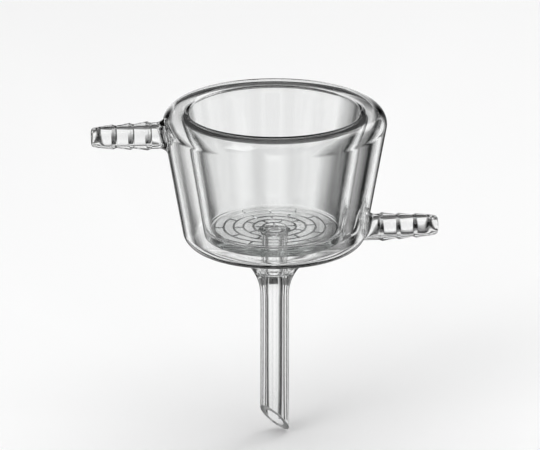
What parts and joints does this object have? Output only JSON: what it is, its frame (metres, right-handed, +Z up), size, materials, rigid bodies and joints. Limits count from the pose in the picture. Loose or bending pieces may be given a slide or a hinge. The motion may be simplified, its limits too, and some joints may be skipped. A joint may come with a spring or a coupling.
{
  "type": "jacketed glass filter funnel",
  "caption": "Water-jacketed filter funnel fused from clear glass: a tapered cup with a grooved floor, barbed hose connectors for the jacket and a stem with a bevelled tip.",
  "frame": {"origin": "on the axis of the stem, in its straight wall, where the middle of a rubber stopper or filter-flask adapter grips it", "axes": "+Z up along the axis of stem and cup, -X towards the upper hose barb (outlet), +X towards the lower hose barb (inlet)"},
  "size_m": [0.1054, 0.0678, 0.1052],
  "materials": {
    "glass": "clear borosilicate glass, fire-polished, with ground grooves in the floor"
  },
  "bodies": {
    "root": {"glass_funnel": "glass"}
  },
  "joints": []
}
